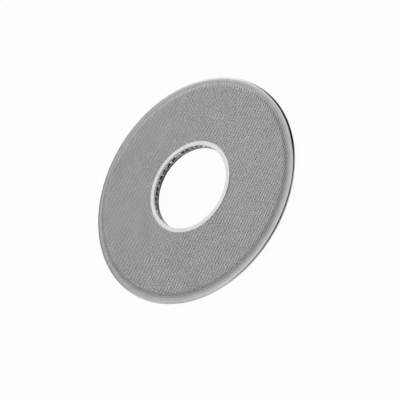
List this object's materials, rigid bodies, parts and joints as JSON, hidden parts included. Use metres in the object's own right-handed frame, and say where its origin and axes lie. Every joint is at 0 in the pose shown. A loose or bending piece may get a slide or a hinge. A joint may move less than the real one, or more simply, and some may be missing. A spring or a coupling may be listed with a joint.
{
  "type": "wire mesh filter disc",
  "caption": "Round flat leaf filter disc with woven wire mesh faces, a flanged bore ring on each side and a pinched rim with a rounded weld bead.",
  "frame": {"origin": "centre of the bore at the face of the back hub ring, where the disc rests when it lies flat", "axes": "+Z along the bore axis towards the front face; +X and +Y in the plane of the disc"},
  "size_m": [0.178, 0.178, 0.0062],
  "materials": {
    "mesh_cloth": "satin woven stainless wire",
    "filter_felt": "matt sintered metal fibre",
    "support_plate": "mill finish stainless sheet",
    "drainage_wire": "drawn stainless wire",
    "hub_ring": "bright turned stainless",
    "seam_weld": "smooth bright weld bead"
  },
  "bodies": {
    "root": {"front_mesh_cloth": "mesh_cloth", "back_mesh_cloth": "mesh_cloth", "front_filter_felt": "filter_felt", "back_filter_felt": "filter_felt", "front_perforated_plate": "support_plate", "back_perforated_plate": "support_plate", "drainage_warp_wires": "drainage_wire", "drainage_weft_wires": "drainage_wire", "front_hub_ring": "hub_ring", "back_hub_ring": "hub_ring", "rim_seam_weld": "seam_weld"}
  },
  "joints": []
}
